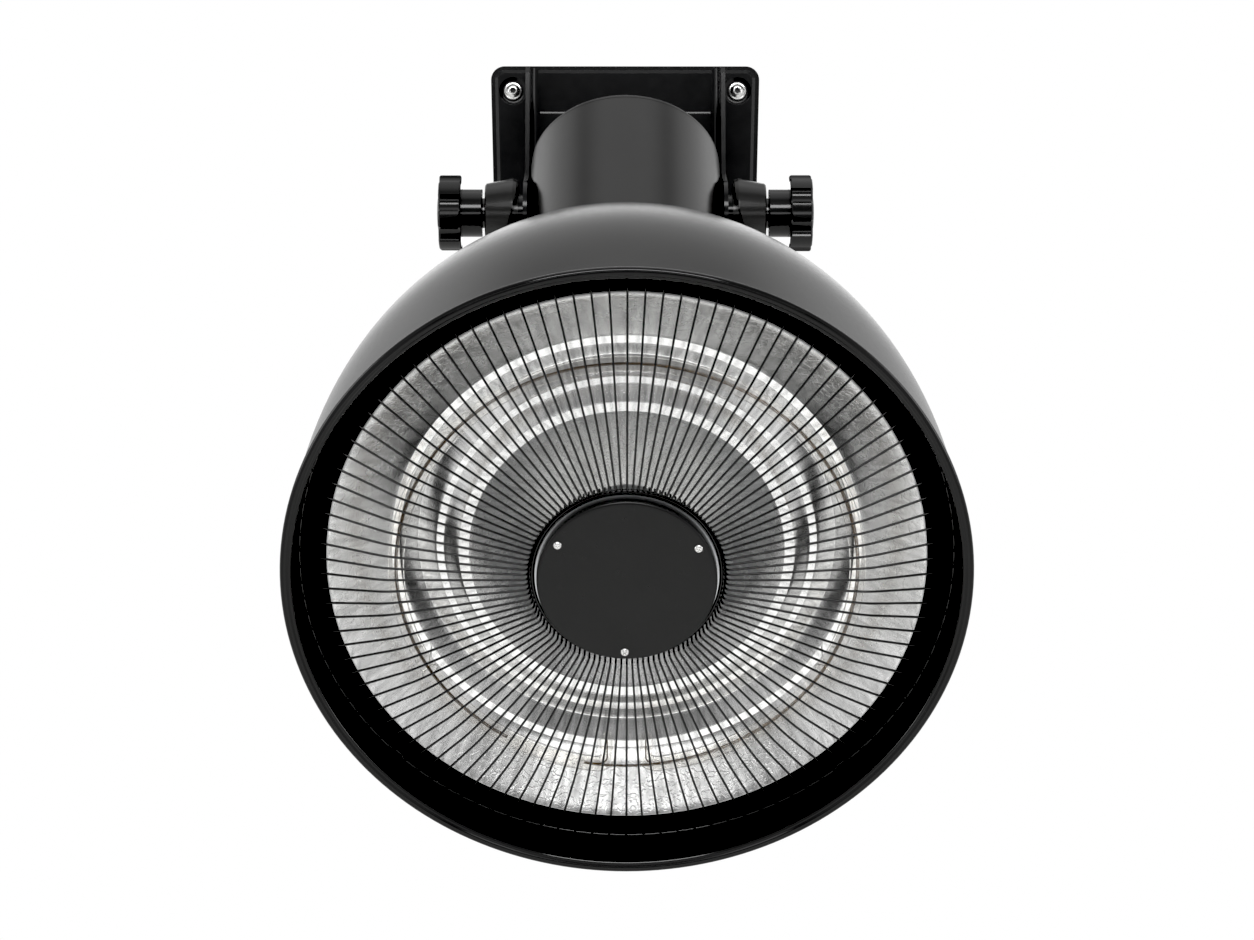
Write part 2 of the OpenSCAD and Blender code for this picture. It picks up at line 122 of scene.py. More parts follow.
def pick_faces(piece, test):
    """Opens a piece in edit mode with the faces selected whose middle and normal pass a test."""
    edit_all(piece)
    bpy.ops.mesh.select_mode(type="FACE")
    bpy.ops.mesh.select_all(action="DESELECT")
    bpy.ops.object.mode_set(mode="OBJECT")
    for face in piece.data.polygons:
        face.select = test(face.center, face.normal)
    bpy.ops.object.mode_set(mode="EDIT")


def pick_vertices(piece, test):
    """Opens a piece in edit mode with the vertices selected whose place passes a test."""
    edit_all(piece)
    bpy.ops.mesh.select_mode(type="VERT")
    bpy.ops.mesh.select_all(action="DESELECT")
    bpy.ops.object.mode_set(mode="OBJECT")
    for vertex in piece.data.vertices:
        vertex.select = test(vertex.co)
    bpy.ops.object.mode_set(mode="EDIT")


def modify(piece, kind, **settings):
    """Adds one modifier to a piece and applies it."""
    select_only(piece)
    bpy.ops.object.modifier_add(type=kind)
    modifier = piece.modifiers[-1]
    for setting, value in settings.items():
        setattr(modifier, setting, value)
    bpy.ops.object.modifier_apply(modifier=modifier.name)


SAME_PLACE = 1e-6


def clean(piece):
    """Merges doubled vertices and turns all faces outwards."""
    edit_all(piece)
    bpy.ops.mesh.remove_doubles(threshold=SAME_PLACE)
    bpy.ops.mesh.normals_make_consistent(inside=False)
    bpy.ops.object.mode_set(mode="OBJECT")


def lay(piece, place):
    """Lays a piece that was modelled upright into its frame, and leaves its object at the origin."""
    select_only(piece)
    piece.matrix_world = place
    bpy.ops.object.transform_apply(location=True, rotation=True, scale=True)


# %% [markdown]
# Spun sheet, turned knobs and rolled rims are all made the way a lathe or a spinning chuck makes
# them: one outline swept round an axis. Here a single vertex is extruded along the outline and
# spun, then the seam is merged. Corners of the outline are rounded before the sweep, because no
# pressed or turned part has a perfectly sharp edge and the small radii catch the light.

# %% Outlines and the lathe
def rounded(line, radii, steps):
    """Replaces each inner corner of a line with nearly an arc, where its radius in mm isn't 0."""
    made = [line[0]]
    for before, corner, after, radius in zip(line, line[1:], line[2:], radii):
        a = Vector(before) - Vector(corner)
        b = Vector(after) - Vector(corner)
        half = a.angle(b) / 2
        if radius <= 0 or abs(half - math.pi / 2) < 0.01:
            made.append(corner)
            continue
        back = min(radius / math.tan(half), 0.48 * a.length, 0.48 * b.length)
        start, end = Vector(corner) + back * a.normalized(), Vector(corner) + back * b.normalized()
        for k in range(steps + 1):
            t = k / steps
            point = (1 - t) ** 2 * start + 2 * t * (1 - t) * Vector(corner) + t ** 2 * end
            made.append(tuple(point))
    return made + [line[-1]]


def sheet(line, thickness):
    """Closes a line into a sheet's outline. Its thickness goes to the left, or below 0 to the right."""
    offset = []
    for i, point in enumerate(line):
        before = Vector(line[max(i - 1, 0)])
        after = Vector(line[min(i + 1, len(line) - 1)])
        a, b = (Vector(point) - before), (after - Vector(point))
        a = a.normalized() if a.length > 1e-9 else b.normalized()
        b = b.normalized() if b.length > 1e-9 else a
        normal = Vector((-(a + b).y, (a + b).x)).normalized()
        reach = thickness / max(0.5, normal.dot(Vector((-a.y, a.x))))
        moved = Vector(point) + reach * normal
        offset.append((max(0.0, moved.x), moved.y))
    return list(line) + offset[::-1]


def traced(name, points):
    """A chain of edges through points in mm, extruded from one vertex."""
    select_only()
    first = Vector(points[0]) * MM
    bpy.ops.mesh.primitive_plane_add(size=0.002, location=first)
    chain = bpy.context.object
    chain.name = chain.data.name = name
    bpy.ops.object.transform_apply(location=True)
    edit_all(chain)
    bpy.ops.mesh.merge(type="CENTER")
    for here, there in zip(points, points[1:]):
        step = (Vector(there) - Vector(here)) * MM
        bpy.ops.mesh.extrude_vertices_move(TRANSFORM_OT_translate={"value": step})
    bpy.ops.object.mode_set(mode="OBJECT")
    return chain


def turned(name, outline, steps, closed=True):
    """Spins an outline of (radius, depth) in mm round local Z."""
    points = [(radius, 0, depth) for radius, depth in outline]
    piece = traced(name, points + points[:1] if closed else points)
    edit_all(piece)
    bpy.ops.mesh.spin(steps=steps, angle=math.tau, center=(0, 0, 0), axis=(0, 0, 1))
    clean(piece)
    return piece


def rod(name, line, radius, sides):
    """A round wire or tube along a line of points in mm. Sides is Blender's bevel resolution."""
    piece = traced(name, line)
    select_only(piece)
    bpy.ops.object.convert(target="CURVE")
    piece = bpy.context.object
    piece.data.bevel_depth = radius * MM
    piece.data.bevel_resolution = sides
    piece.data.use_fill_caps = True
    bpy.ops.object.convert(target="MESH")
    piece = bpy.context.object
    clean(piece)
    return piece


def repeated(piece, count, first, share=1.0):
    """Copies a piece round local Z from a first angle, over a share of the turn, in one mesh."""
    piece.rotation_euler = (0, 0, math.radians(first))
    select_only(piece)
    bpy.ops.object.transform_apply(rotation=True)
    edit_all(piece)
    bpy.ops.mesh.spin(steps=count - 1, dupli=True, angle=math.tau * share * (count - 1) / count,
                      center=(0, 0, 0), axis=(0, 0, 1))
    bpy.ops.object.mode_set(mode="OBJECT")


def joined(*pieces):
    """Makes one piece of several."""
    select_only(*pieces)
    bpy.ops.object.join()
    return bpy.context.object


# %% [markdown]
# Some CAD solids are right but for their knife-sharp edges. A copy of such a solid is merged,
# its flat faces are dissolved into whole ones, and a narrow bevel gives it the soft edges of
# thick paint or a casting.

# %% Softened copies of CAD solids
CAD_SAME_PLACE, LEVEL_WITHIN, SHARP_FROM, BEVEL_STEPS = 2e-6, 0.6, 32, 2


def softened(node, width):
    """A copy of a CAD node with edges rounded to a width in mm."""
    piece = bpy.data.objects.new(node + "_soft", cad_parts[node].data.copy())
    bpy.context.scene.collection.objects.link(piece)
    piece.data.materials.clear()
    edit_all(piece)
    bpy.ops.mesh.remove_doubles(threshold=CAD_SAME_PLACE)
    bpy.ops.mesh.dissolve_limited(angle_limit=math.radians(LEVEL_WITHIN))
    bpy.ops.object.mode_set(mode="OBJECT")
    modify(piece, "BEVEL", width=width * MM, segments=BEVEL_STEPS, limit_method="ANGLE",
           angle_limit=math.radians(SHARP_FROM), harden_normals=False, miter_outer="MITER_ARC")
    return piece


# %% [markdown]
# Every finished piece goes through one last step. It is laid into its frame, smoothed and coated,
# hung on the body that moves it, and takes the place of the CAD solids that it stands for.

# %% The last step of every piece
def finish_piece(piece, body, finish, *stands_for, place=None, smooth=35, flat=False):
    """Lays, smooths, coats and hangs a finished piece. Flat keeps wide faces flat to their bevels."""
    if place is not None:
        lay(piece, place)
    select_only(piece)
    bpy.ops.object.shade_smooth_by_angle(angle=math.radians(smooth))
    if flat:
        modify(piece, "WEIGHTED_NORMAL", keep_sharp=True, weight=90)
    for material in finish if isinstance(finish, list) else [finish]:
        if material.name not in piece.data.materials:
            piece.data.materials.append(material)
    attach(piece, body)
    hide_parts(*stands_for)
    print(f"{piece.name}: {len(piece.data.polygons)} faces on {body}")


# %% [markdown]
# Finishes come before the pieces that wear them. Each one starts from the same Principled shader
# and reads Object coordinates, which are the heater's own metres, so that grain has a true size.
# A noise about three centimetres across shifts the colour a little, as on any real coating. A
# finer one shifts the gloss, and the finest raises the grain of a sprayed or moulded surface.

# %% The base of every finish
def base_finish(name, colour, roughness, metallic=0.0, specular=0.5):
    """A new material with its Principled shader, and the coordinates that its patterns read."""
    material = bpy.data.materials.new(name)
    material.use_nodes = True
    nodes = material.node_tree.nodes
    shader = nodes["Principled BSDF"]
    shader.inputs["Base Color"].default_value = (*colour, 1)
    shader.inputs["Roughness"].default_value = roughness
    shader.inputs["Metallic"].default_value = metallic
    shader.inputs["Specular IOR Level"].default_value = specular
    place = nodes.new("ShaderNodeTexCoord")
    return material, shader, place.outputs["Object"]


def add(material, kind, **settings):
    """Adds one node and sets what is given: inputs by name, and other values as attributes."""
    node = material.node_tree.nodes.new(kind)
    for key, value in settings.items():
        if hasattr(node, key):
            setattr(node, key, value)
        else:
            node.inputs[key].default_value = value
    return node


def wire(material, start, end):
    """Joins an output to an input."""
    material.node_tree.links.new(start, end)


def ramp(material, source, low, high, near, far):
    """Maps a value from one range to another, or between two colours."""
    if isinstance(near, tuple):
        node = add(material, "ShaderNodeValToRGB")
        node.color_ramp.elements[0].position = low
        node.color_ramp.elements[1].position = high
        node.color_ramp.elements[0].color = (*near, 1)
        node.color_ramp.elements[1].color = (*far, 1)
        wire(material, source, node.inputs["Fac"])
        return node.outputs["Color"]
    node = add(material, "ShaderNodeMapRange")
    for socket, value in zip(("From Min", "From Max", "To Min", "To Max"), (low, high, near, far)):
        node.inputs[socket].default_value = value
    wire(material, source, node.inputs["Value"])
    return node.outputs["Result"]


def noise(material, place, size_mm, detail=3.0):
    """A noise whose lumps are about size_mm across."""
    node = add(material, "ShaderNodeTexNoise", Scale=1 / (size_mm * MM), Detail=detail,
               Roughness=0.55)
    wire(material, place, node.inputs["Vector"])
    return node.outputs["Fac"]


def raise_grain(material, shader, height, depth_mm, strength=1.0, under=None):
    """Bump from a height, on top of another bump if there is one."""
    bump = add(material, "ShaderNodeBump", Strength=strength, Distance=depth_mm * MM)
    wire(material, height, bump.inputs["Height"])
    if under is not None:
        wire(material, under, bump.inputs["Normal"])
    wire(material, bump.outputs["Normal"], shader.inputs["Normal"])
    return bump.outputs["Normal"]


CLOUD_MM = 28


def coat(name, colour, roughness, grain_mm, grain_depth, specular=0.5, metallic=0.0, shift=0.12):
    """A paint, plastic or plated finish: cloudy colour and gloss, and a fine grain."""
    material, shader, place = base_finish(name, colour, roughness, metallic, specular)
    cloud = noise(material, place, CLOUD_MM)
    dark = tuple(c * (1 - shift) for c in colour)
    light = tuple(min(1.0, c * (1 + shift)) for c in colour)
    wire(material, ramp(material, cloud, 0.3, 0.7, dark, light), shader.inputs["Base Color"])
    fine = noise(material, place, grain_mm * 4)
    wire(material, ramp(material, fine, 0.25, 0.75, roughness * 0.9, roughness * 1.1),
         shader.inputs["Roughness"])
    raise_grain(material, shader, noise(material, place, grain_mm, 2.0), grain_depth)
    return material


# %% Black coats and plastics
satin_black = coat("satin_black_coat", (0.009, 0.0088, 0.0085), 0.23, 0.9, 0.002)
bracket_black = coat("bracket_enamel", (0.012, 0.012, 0.0124), 0.15, 1.6, 0.0012, specular=0.3)
wire_black = coat("wire_enamel", (0.002, 0.002, 0.002), 0.2, 0.5, 0.002)
rim_black = coat("rim_gloss_black", (0.004, 0.004, 0.004), 0.1, 1.6, 0.0012, specular=0.35)
hub_black = coat("hub_satin_black", (0.006, 0.006, 0.006), 0.3, 0.7, 0.002, specular=0.37)
# Matt black darker than the satin coat: partly real black paint, partly painted shade.
black_with_painted_shade = coat("matt_black_and_painted_shade", (0.0012, 0.0012, 0.0012), 0.6, 1.2, 0.006, specular=0.05)
knob_black = coat("knob_moulded_plastic", (0.008, 0.008, 0.008), 0.12, 0.8, 0.001, specular=0.4)
gland_black = coat("gland_nylon", (0.012, 0.012, 0.012), 0.42, 0.5, 0.006)
print("black finishes made")

# %% Metals, ceramic and plastic of the working parts
steel = coat("bright_steel", (0.72, 0.72, 0.71), 0.2, 0.4, 0.002, metallic=1.0, shift=0.06)
# Blackened steel for the washers, and painted shade inside the wall screws' sockets.
dark_steel = coat("blackened_steel_and_socket_shade", (0.06, 0.06, 0.06), 0.2, 0.6, 0.002, metallic=1.0)
zinc = coat("zinc_plate", (0.55, 0.56, 0.57), 0.34, 0.8, 0.004, metallic=1.0)
brass = coat("nickel_brass", (0.62, 0.55, 0.40), 0.3, 0.5, 0.003, metallic=1.0)
tungsten = coat("coiled_tungsten", (0.10, 0.06, 0.025), 0.4, 0.2, 0.002, metallic=1.0)
# A near-white non-metal strip: a painted highlight along the reflector's cut edge.
cut_edge = coat("cut_edge_painted_highlight", (0.94, 0.94, 0.935), 0.4, 0.5, 0.003, shift=0.03)
ceramic = coat("white_steatite", (0.80, 0.77, 0.70), 0.55, 0.6, 0.02)
ivory = coat("ivory_block", (0.72, 0.69, 0.60), 0.4, 0.8, 0.006)
print("working finishes made")

# %% [markdown]
# The lamp is a clear quartz tube, almost without colour. Real quartz has an index of 1.46. Here
# the index is 1.02, a value chosen for its look, so the tube bends light far less than a real
# one. Drawn tube is never quite even, so a long soft noise moves its surface a hair.

# %% Quartz
QUARTZ_INDEX = 1.02
quartz, shader, place = base_finish("clear_quartz", (1.0, 0.995, 0.985), 0.0)
shader.inputs["Transmission Weight"].default_value = 1.0
shader.inputs["IOR"].default_value = QUARTZ_INDEX
raise_grain(quartz, shader, noise(quartz, place, 30, 1.0), 0.002)
print("quartz made with an index of", QUARTZ_INDEX)

# %% [markdown]
# The reflector is bright aluminium sheet. Between its polished steps it is hammered and mirrors
# mottled light: streaks run from the rim to the middle, and outside the lamp's ring a net of fine
# grooves is laid over them. The streaks need polar coordinates. A Mapping node brings the pattern
# into the shade's own frame, and there the unit direction away from the axis stands for the
# angle, which leaves no seam where a full turn closes.

# %% Polar coordinates and streaks
def shade_polar(material, place):
    """Radius in metres, and the unit direction round the shade's axis."""
    mapping = add(material, "ShaderNodeMapping", vector_type="TEXTURE")
    mapping.inputs["Location"].default_value = MOUTH
    mapping.inputs["Rotation"].default_value = (SHADE_TURN, 0, 0)
    wire(material, place, mapping.inputs["Vector"])
    flat = add(material, "ShaderNodeVectorMath", operation="MULTIPLY")
    flat.inputs[1].default_value = (1, 1, 0)
    wire(material, mapping.outputs["Vector"], flat.inputs[0])
    length = add(material, "ShaderNodeVectorMath", operation="LENGTH")
    wire(material, flat.outputs["Vector"], length.inputs[0])
    way = add(material, "ShaderNodeVectorMath", operation="NORMALIZE")
    wire(material, flat.outputs["Vector"], way.inputs[0])
    return length.outputs["Value"], way.outputs["Vector"]


STREAK_RADIUS = 0.12


def streaks(material, radius, way, across_mm, along_mm):
    """Noise drawn out towards the middle: narrow round the axis, long along the radius."""
    scaled = add(material, "ShaderNodeVectorMath", operation="SCALE",
                 Scale=STREAK_RADIUS / (across_mm * MM))
    wire(material, way, scaled.inputs[0])
    depth = add(material, "ShaderNodeMath", operation="DIVIDE")
    depth.inputs[1].default_value = along_mm * MM
    wire(material, radius, depth.inputs[0])
    pack = add(material, "ShaderNodeCombineXYZ")
    wire(material, depth.outputs["Value"], pack.inputs["Z"])
    both = add(material, "ShaderNodeVectorMath", operation="ADD")
    wire(material, scaled.outputs["Vector"], both.inputs[0])
    wire(material, pack.outputs["Vector"], both.inputs[1])
    node = add(material, "ShaderNodeTexNoise", Scale=1.0, Detail=3.0, Roughness=0.6)
    wire(material, both.outputs["Vector"], node.inputs["Vector"])
    return node.outputs["Fac"]


# %% Hammered and polished aluminium
CONE_TO, STEPS_FROM, STEPS_TO, SLOPE_FROM, GROOVES_FROM = 0.095, 0.103, 0.150, 0.158, 0.166
CONE_ROUGH, STEPS_ROUGH, SLOPE_ADDS = 0.26, 0.16, 0.09
hammered, shader, place = base_finish("hammered_aluminium", (0.86, 0.86, 0.85), 0.3, 1.0)
radius, way = shade_polar(hammered, place)
streak = streaks(hammered, radius, way, 3.0, 24)
wire(hammered, ramp(hammered, streak, 0.33, 0.67, (0.66, 0.66, 0.655), (0.97, 0.97, 0.965)),
     shader.inputs["Base Color"])
gloss = add(hammered, "ShaderNodeMath", operation="MULTIPLY")
zones = add(hammered, "ShaderNodeMath", operation="ADD")
wire(hammered, ramp(hammered, radius, CONE_TO, STEPS_FROM, CONE_ROUGH, STEPS_ROUGH), zones.inputs[0])
wire(hammered, ramp(hammered, radius, STEPS_TO, SLOPE_FROM, 0.0, SLOPE_ADDS), zones.inputs[1])
wire(hammered, zones.outputs["Value"], gloss.inputs[0])
wire(hammered, ramp(hammered, noise(hammered, place, 9), 0.3, 0.7, 0.8, 1.2), gloss.inputs[1])
wire(hammered, gloss.outputs["Value"], shader.inputs["Roughness"])
ridge = add(hammered, "ShaderNodeMath", operation="SUBTRACT")
wire(hammered, noise(hammered, place, 5.0, 1.5), ridge.inputs[0])
ridge.inputs[1].default_value = 0.5
fold = add(hammered, "ShaderNodeMath", operation="ABSOLUTE")
wire(hammered, ridge.outputs["Value"], fold.inputs[0])
crease = add(hammered, "ShaderNodeMath", operation="MULTIPLY")
wire(hammered, ramp(hammered, fold.outputs["Value"], 0.0, 0.05, 0.0, 1.0), crease.inputs[0])
wire(hammered, ramp(hammered, radius, STEPS_TO, GROOVES_FROM, 0.0, 1.0), crease.inputs[1])
under = raise_grain(hammered, shader, streak, 0.015, 0.6)
raise_grain(hammered, shader, crease.outputs["Value"], 0.08, 0.6, under)

polished, shader, place = base_finish("polished_aluminium", (0.97, 0.97, 0.965), 0.16, 1.0)
wire(polished, ramp(polished, noise(polished, place, 12), 0.3, 0.7, 0.14, 0.18), shader.inputs["Roughness"])
print("reflector finishes made")

# %% [markdown]
# The shade is spun from one disc of steel: a deep dome whose edge is rolled into a hem that
# stiffens it. Its curve is a superellipse, fuller than a circle near the mouth. The outline runs
# from the crown down the outside, round the hem and its lip, and back up the inside. The dome is
# satin outside and its hem is glossy. Inside, it is a matt black darker than the outside, which
# adds painted shade within the mouth.

# %% The spun shade with its rolled rim
DOME_R, DOME_DEPTH, DOME_POWER, SHELL = 209.7, 300.0, 2.55, 1.6
CROWN_SHARE, CROWN_STEPS, DOME_STEPS = 0.973, 6, 54
CROWN = DOME_DEPTH * CROWN_SHARE


def dome_radius(depth, thin=0.0):
    """Radius of the dome at a distance behind the mouth, in mm."""
    return (DOME_R - thin) * math.sqrt(1 - (depth / (DOME_DEPTH - thin)) ** DOME_POWER)


def dome_line(first, thin):
    """Points down the dome from its crown to a first depth, closer together at the crown."""
    top = CROWN - thin
    line = [(dome_radius(top, thin) * k / CROWN_STEPS, top) for k in range(CROWN_STEPS)]
    for k in range(DOME_STEPS + 1):
        depth = first + (top - first) * math.cos(math.pi / 2 * k / DOME_STEPS)
        line.append((dome_radius(depth, thin), depth))
    return line


def arc(middle, radius, start, end, steps):
    """Points on an arc in the outline's plane, from one angle to another in degrees."""
    angles = [math.radians(start + (end - start) * k / steps) for k in range(steps + 1)]
    return [(middle[0] + radius * math.cos(a), middle[1] + radius * math.sin(a)) for a in angles]


def paint_faces(piece, slot, test):
    """Gives the faces that pass a test the finish in one of the piece's slots."""
    pick_faces(piece, test)
    bpy.context.object.active_material_index = slot
    bpy.ops.object.material_slot_assign()
    bpy.ops.object.mode_set(mode="OBJECT")


BEAD_R, BEAD_AT, LIP_TOP = 2.45, 210.0, 10.6
hem = [(DOME_R, 9.6), (BEAD_AT, 8.6), (210.2, 5.2)]
hem += arc((BEAD_AT, BEAD_R), BEAD_R, 72, -90, 12)
hem += rounded([(BEAD_AT - 0.2, 0), (208.4, 0), (207.3, 0.9), (205.9, 1.1), (205.2, 2.0), (205.6, 8.0),
                (dome_radius(LIP_TOP, SHELL), LIP_TOP)], [1.4, 0.8, 0.8, 0.8, 2.0], 3)
shade_outline = dome_line(10.0, 0.0) + hem + dome_line(11.0, SHELL)[::-1]
shade = turned("spun_shade", shade_outline, closed=False, steps=192)
HEM_FOLD, HEM_TOP = 0.0021, 0.0085
shade_finishes = [satin_black, black_with_painted_shade, rim_black]
for finish in shade_finishes:
    shade.data.materials.append(finish)
# Inner faces take the matt black, which is painted shade inside the mouth.
paint_faces(shade, 1, lambda middle, normal: normal.xy.dot(middle.xy) < 0 and middle.z > HEM_FOLD)
paint_faces(shade, 2, lambda middle, normal: middle.z < HEM_TOP and (normal.xy.dot(middle.xy) > 0
                                                                     or middle.z < HEM_FOLD))
finish_piece(shade, "head", shade_finishes, "dome_shade", "rim_bead", place=SHADE)

# %% [markdown]
# The neck is a short fat tube, bent a little from the shade's axis. Its far end is closed by a
# pressed cap whose edge is rolled over a radius of about two millimetres: in the photograph that
# radius shows as one thin bright line along the top of the neck.

# %% The neck and its end cap
NECK_R, NECK_WALL, NECK_FROM, NECK_END = 69.5, 2.0, 60, 283.0
neck_outline = [(NECK_R, NECK_FROM), (NECK_R, NECK_END - 3.35), (NECK_R - 0.3, NECK_END - 3.05),
                (NECK_R - NECK_WALL, NECK_END - 3.05), (NECK_R - NECK_WALL, NECK_FROM)]
neck = turned("neck_sleeve", neck_outline, steps=160)
finish_piece(neck, "head", satin_black, "neck_tube", place=NECK)

CAP_EDGE_R, CAP_BACK, SKIRT_END = 1.9, NECK_END - 3, NECK_END - 9
SKIRT_OUT, SKIRT_IN = NECK_R - 2.2, NECK_R - 4.2
cap_face = rounded([(0, NECK_END), (NECK_R, NECK_END), (NECK_R, CAP_BACK)], [CAP_EDGE_R], 6)
cap_outline = cap_face + [(SKIRT_OUT, CAP_BACK), (SKIRT_OUT, SKIRT_END), (SKIRT_IN, SKIRT_END),
                          (SKIRT_IN, CAP_BACK), (0, CAP_BACK)]
cap = turned("neck_end_cap", cap_outline, closed=False, steps=160)
finish_piece(cap, "head", satin_black, "neck_cap", place=NECK)

# %% [markdown]
# The reflector is pressed in steps. Each flat ring between two slopes is polished, and the three
# rings are the pale hoops of the photograph. The slopes are hammered. The flange outside the rim
# is coloured matt black like the frame behind it, a painted shade over the aluminium. The last
# millimetre of the slope inside the rim is coloured near-white, a painted highlight along the
# sheet's cut edge. Faces are told apart by their slope and their distance from the shade's axis.

# %% The stepped reflector
REFLECTOR_R, LAMP_R, BAND = 186.0, 142.5, 48.3
CENTRE_R, CENTRE_S = 30.0, 78.2
FLANGE_W, FLANGE_S, RIM_S, REFLECTOR_T, LONGEST = 6, 31.5, 24.7, 1.2, 3.0
front = [(REFLECTOR_R + FLANGE_W, FLANGE_S), (REFLECTOR_R + 0.4, FLANGE_S), (REFLECTOR_R, RIM_S),
         (LAMP_R + 4.9, BAND), (LAMP_R - 0.2, BAND), (LAMP_R - 11.5, BAND + 9.7),
         (LAMP_R - 23.4, BAND + 1.7), (LAMP_R - 27.8, BAND + 1.7), (LAMP_R - 37.6, BAND - 4.8),
         (LAMP_R - 43.9, BAND - 4.8), (CENTRE_R, CENTRE_S), (0, CENTRE_S)]
front = rounded(front, [1, 1.6, 0.8, 0.8, 0.5, 0.8, 0.8, 0.8, 0.8, 4], 3)
dense = [front[0]]
for here, there in zip(front, front[1:]):
    span = math.dist(here, there)
    cuts = max(1, round(span / LONGEST))
    dense += [(here[0] + (there[0] - here[0]) * k / cuts, here[1] + (there[1] - here[1]) * k / cuts)
              for k in range(1, cuts + 1)]
reflector = turned("stepped_reflector", sheet(dense, -REFLECTOR_T), steps=192)
reflector_finishes = [hammered, polished, black_with_painted_shade, cut_edge]
for finish in reflector_finishes:
    reflector.data.materials.append(finish)
RINGS_FROM, RINGS_TO, LEVEL = 0.09, 0.15, 0.995
STRIP_FROM, STRIP_TO, FLANGE_TO = 0.1849, 0.18603, 0.2
# Slot 2, the flange, is painted shade in black; slot 3, the rim strip, a painted highlight in white.
for slot, nearest, furthest, level in ((1, RINGS_FROM, RINGS_TO, LEVEL), (2, STRIP_TO, FLANGE_TO, 0.0),
                                       (3, STRIP_FROM, STRIP_TO, 0.0)):
    paint_faces(reflector, slot, lambda middle, normal: (abs(normal.z) >= level
                                                         and nearest < middle.xy.length < furthest))
finish_piece(reflector, "head", reflector_finishes, "reflector_dish", place=SHADE, smooth=25)

# %% [markdown]
# The lamp is a ring of quartz tube that stops short of a full turn. At the foot of the ring both
# ends bend straight back through the reflector into ceramic caps. It is drawn as one line, given
# a round section and then hollowed by a Solidify modifier, so that the tube has a real wall.

# %% The quartz ring lamp
LAMP_DEPTH, TUBE_R, TUBE_WALL, BEND_R, LEG_END = 19.0, 5.0, 0.6, 9.0, 75.0
LEG_ANGLE = 5.0
turn_back = math.degrees(BEND_R / LAMP_R)


def lamp_leg(angle, direction):
    """Points of one leg, from the ring's end round the bend and back to the cap."""
    start = math.radians(angle + direction * turn_back)
    along_ring = Vector((math.sin(start), -math.cos(start), 0)) * direction
    point = Vector((LAMP_R * math.cos(start), LAMP_R * math.sin(start), LAMP_DEPTH))
    bend = [point + BEND_R * (math.sin(a) * along_ring + (1 - math.cos(a)) * Vector((0, 0, 1)))
            for a in (math.pi / 2 * k / 8 for k in range(9))]
    foot = bend[-1].copy()
    foot.z = LEG_END
    return bend + [foot]


ring_from, ring_to = 90 + LEG_ANGLE + turn_back, 450 - LEG_ANGLE - turn_back
ring_line = [Vector((LAMP_R * math.cos(a), LAMP_R * math.sin(a), LAMP_DEPTH))
             for a in (math.radians(ring_from + (ring_to - ring_from) * k / 150) for k in range(1, 150))]
lamp_line = lamp_leg(90 + LEG_ANGLE, 1)[::-1] + ring_line + lamp_leg(90 - LEG_ANGLE, -1)
lamp = rod("quartz_ring", lamp_line, TUBE_R, sides=6)
modify(lamp, "SOLIDIFY", thickness=TUBE_WALL * MM, offset=-1.0)
finish_piece(lamp, "head", quartz, "lamp_tube", "lamp_legs", place=SHADE, smooth=60)

# %% [markdown]
# Inside the quartz runs a coil of tungsten wire. One turn of the coil is drawn, and copies of it
# follow one another round the ring. Its two ends go down the legs as straight leads.

# %% The coiled filament
COIL_R, COIL_WIRE, COIL_TURNS, COIL_INSET, LEAD_R = 1.0, 0.2, 1000, 2, 0.45
coil_from, coil_to = ring_from + COIL_INSET, ring_to - COIL_INSET
turn_angle = math.radians((coil_to - coil_from) / COIL_TURNS)
one_turn = []
for k in range(9):
    swing = math.tau * k / 8
    out = LAMP_R + COIL_R * math.cos(swing)
    one_turn.append((out * math.cos(turn_angle * k / 8), out * math.sin(turn_angle * k / 8),
                     LAMP_DEPTH + COIL_R * math.sin(swing)))
coil = rod("filament_coil", one_turn, COIL_WIRE, sides=0)
repeated(coil, COIL_TURNS, coil_from, (coil_to - coil_from) / 360)
leads = []
for angle, direction in ((90 + LEG_ANGLE, 1), (90 - LEG_ANGLE, -1)):
    leads.append(rod(f"filament_lead_{direction}", lamp_leg(angle, direction), LEAD_R, sides=1))
coil = joined(coil, *leads)
finish_piece(coil, "head", tungsten, "lamp_filament", place=SHADE, smooth=60)

# %% [markdown]
# The grille is the feature that takes most care. Every radial wire starts behind the hub, bends
# forward round its rim, runs level over the lamp, and then sweeps back over the black edge to a
# ring deep inside the mouth. One wire is drawn with its bends and copied round the axis.

# %% The fan of bent wires
WIRE_COUNT, WIRE_D = 112, 1.5
HUB_RING_R, OUTER_RING_R, OUTER_RING_S, RING_D = 58.5, 203.0, 29.0, 3.0
FAN_FRONT, FAN_BACK = 8.5, 17.5
wire_in = HUB_RING_R + RING_D / 2 + WIRE_D / 2
wire_line = rounded([(wire_in, FAN_BACK), (wire_in, FAN_FRONT), (LAMP_R + 7, FAN_FRONT),
                     (REFLECTOR_R + 4, FAN_BACK),
                     (OUTER_RING_R + 0.8, OUTER_RING_S - RING_D / 2 - WIRE_D / 2)], [4, 60, 25], 4)
spoke = rod("grille_fan", [(radius, 0, depth) for radius, depth in wire_line], WIRE_D / 2, sides=1)
repeated(spoke, WIRE_COUNT, 90)
finish_piece(spoke, "head", wire_black, "grille_wires", place=SHADE, smooth=75)

# %% [markdown]
# Both rings of the grille are bent from thicker wire and butt-welded, and each radial wire is
# spot-welded to them. A circle swept round the axis gives each ring, and a slight swelling marks
# its butt weld.

